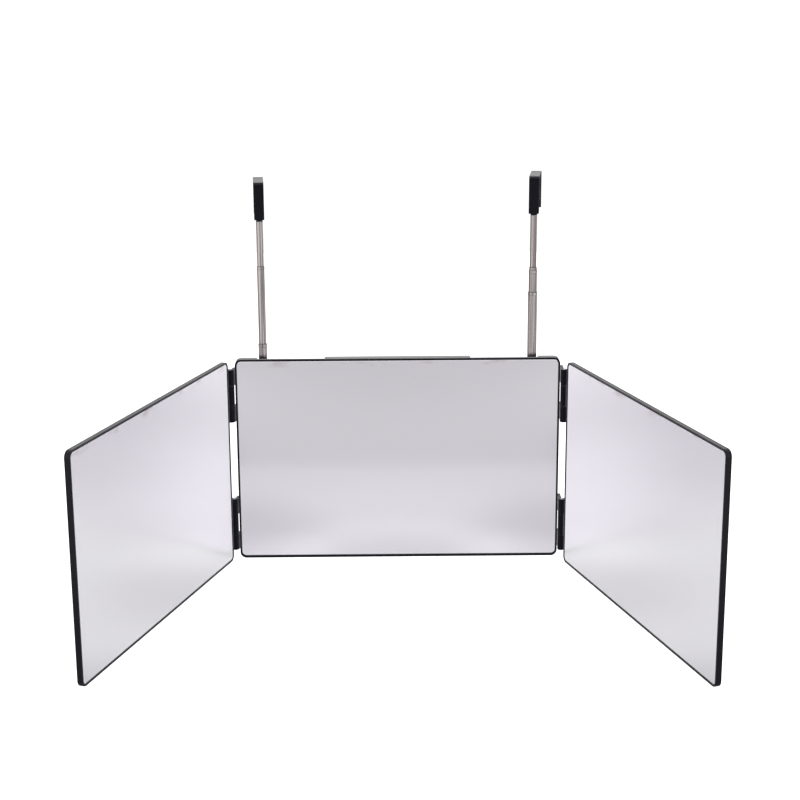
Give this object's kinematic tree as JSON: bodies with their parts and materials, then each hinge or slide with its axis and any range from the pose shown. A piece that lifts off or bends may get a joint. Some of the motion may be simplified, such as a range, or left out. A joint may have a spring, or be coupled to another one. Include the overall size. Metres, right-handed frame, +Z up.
{
  "type": "folding tri-fold mirror",
  "caption": "Folding mirror with side wings on edge hinges and telescoping rods that end in hooks for hanging over a door.",
  "frame": {"origin": "centre of the centre panel's bottom face", "axes": "+X to the right of someone looking into the mirrors, +Y away from them through the centre panel, +Z up along the rods"},
  "size_m": [0.6017, 0.4209, 0.4309],
  "materials": {
    "black_plastic": "fine satin moulding",
    "hinge_plastic": "matt moulding",
    "mirror_glass": "polished silvered glass",
    "foam_tape": "white foam tape",
    "rod_steel": "drawn and polished stainless tube",
    "steel_hardware": "plated steel",
    "nylon": "natural nylon",
    "pad_rubber": "soft foam rubber"
  },
  "bodies": {
    "centre_panel": {"centre_frame": "black_plastic", "centre_mirror": "mirror_glass", "centre_mirror_tape": "foam_tape", "centre_rear_cover": "black_plastic", "cover_screws": "steel_hardware", "guide_tube_clamps": "black_plastic", "guide_tube_plugs": "nylon", "hinge_leaf_screws": "steel_hardware", "left_guide_tube": "rod_steel", "left_lower_centre_leaf": "hinge_plastic", "left_lower_hinge_pin": "steel_hardware", "left_upper_centre_leaf": "hinge_plastic", "left_upper_hinge_pin": "steel_hardware", "right_guide_tube": "rod_steel", "right_lower_centre_leaf": "hinge_plastic", "right_lower_hinge_pin": "steel_hardware", "right_upper_centre_leaf": "hinge_plastic", "right_upper_hinge_pin": "steel_hardware"},
    "left_wing": {"left_frame": "black_plastic", "left_mirror": "mirror_glass", "left_mirror_tape": "foam_tape", "left_back_cover": "black_plastic", "left_lower_side_leaf": "hinge_plastic", "left_upper_side_leaf": "hinge_plastic"},
    "left_outer_tube": {"left_rod_outer": "rod_steel", "left_sleeve_outer": "nylon"},
    "left_second_tube": {"left_rod_second": "rod_steel", "left_sleeve_second": "nylon"},
    "left_third_tube": {"left_rod_third": "rod_steel", "left_sleeve_third": "nylon"},
    "left_inner_tube": {"left_rod_inner": "rod_steel", "left_sleeve_inner": "nylon", "left_spigot": "steel_hardware"},
    "left_hook_arm": {"left_hook": "black_plastic", "left_hook_pad": "pad_rubber", "left_set_screw": "steel_hardware"},
    "right_wing": {"right_frame": "black_plastic", "right_mirror": "mirror_glass", "right_mirror_tape": "foam_tape", "right_back_cover": "black_plastic", "right_lower_side_leaf": "hinge_plastic", "right_upper_side_leaf": "hinge_plastic"},
    "right_outer_tube": {"right_rod_outer": "rod_steel", "right_sleeve_outer": "nylon"},
    "right_second_tube": {"right_rod_second": "rod_steel", "right_sleeve_second": "nylon"},
    "right_third_tube": {"right_rod_third": "rod_steel", "right_sleeve_third": "nylon"},
    "right_inner_tube": {"right_rod_inner": "rod_steel", "right_sleeve_inner": "nylon", "right_spigot": "steel_hardware"},
    "right_hook_arm": {"right_hook": "black_plastic", "right_hook_pad": "pad_rubber", "right_set_screw": "steel_hardware"}
  },
  "joints": [
    {"name": "left_wing_fold", "type": "hinge", "parent": "centre_panel", "child": "left_wing", "pos_m": [-0.185, -0.0075, 0.116], "axis": [0, 0, -1], "range_deg": [-108.1, 71.9]},
    {"name": "left_outer_slide", "type": "slide", "parent": "centre_panel", "child": "left_outer_tube", "axis": [0, 0, 1], "range_m": [0, 0.13]},
    {"name": "left_second_slide", "type": "slide", "parent": "left_outer_tube", "child": "left_second_tube", "axis": [0, 0, 1], "range_m": [-0.0625, 0.0675]},
    {"name": "left_third_slide", "type": "slide", "parent": "left_second_tube", "child": "left_third_tube", "axis": [0, 0, 1], "range_m": [-0.0835, 0.0465]},
    {"name": "left_inner_slide", "type": "slide", "parent": "left_third_tube", "child": "left_inner_tube", "axis": [0, 0, 1], "range_m": [-0.0496, 0.0804]},
    {"name": "left_hook_swivel", "type": "hinge", "parent": "left_inner_tube", "child": "left_hook_arm", "pos_m": [-0.149, 0.0042, 0.38565], "axis": [0, 0, 1], "range_deg": [-94.9, 20.1]},
    {"name": "right_wing_fold", "type": "hinge", "parent": "centre_panel", "child": "right_wing", "pos_m": [0.1833, -0.0171, 0.116], "axis": [0, 0, 1], "range_deg": [-107.3, 72.7]},
    {"name": "right_outer_slide", "type": "slide", "parent": "centre_panel", "child": "right_outer_tube", "axis": [0, 0, 1], "range_m": [-0.1217, 0.0083]},
    {"name": "right_second_slide", "type": "slide", "parent": "right_outer_tube", "child": "right_second_tube", "axis": [0, 0, 1], "range_m": [-0.0213, 0.1087]},
    {"name": "right_third_slide", "type": "slide", "parent": "right_second_tube", "child": "right_third_tube", "axis": [0, 0, 1], "range_m": [0, 0.13]},
    {"name": "right_inner_slide", "type": "slide", "parent": "right_third_tube", "child": "right_inner_tube", "axis": [0, 0, 1], "range_m": [-0.0574, 0.0726]},
    {"name": "right_hook_swivel", "type": "hinge", "parent": "right_inner_tube", "child": "right_hook_arm", "pos_m": [0.149, 0.0042, 0.39045], "axis": [0, 0, -1], "range_deg": [-97.9, 17.1]}
  ]
}
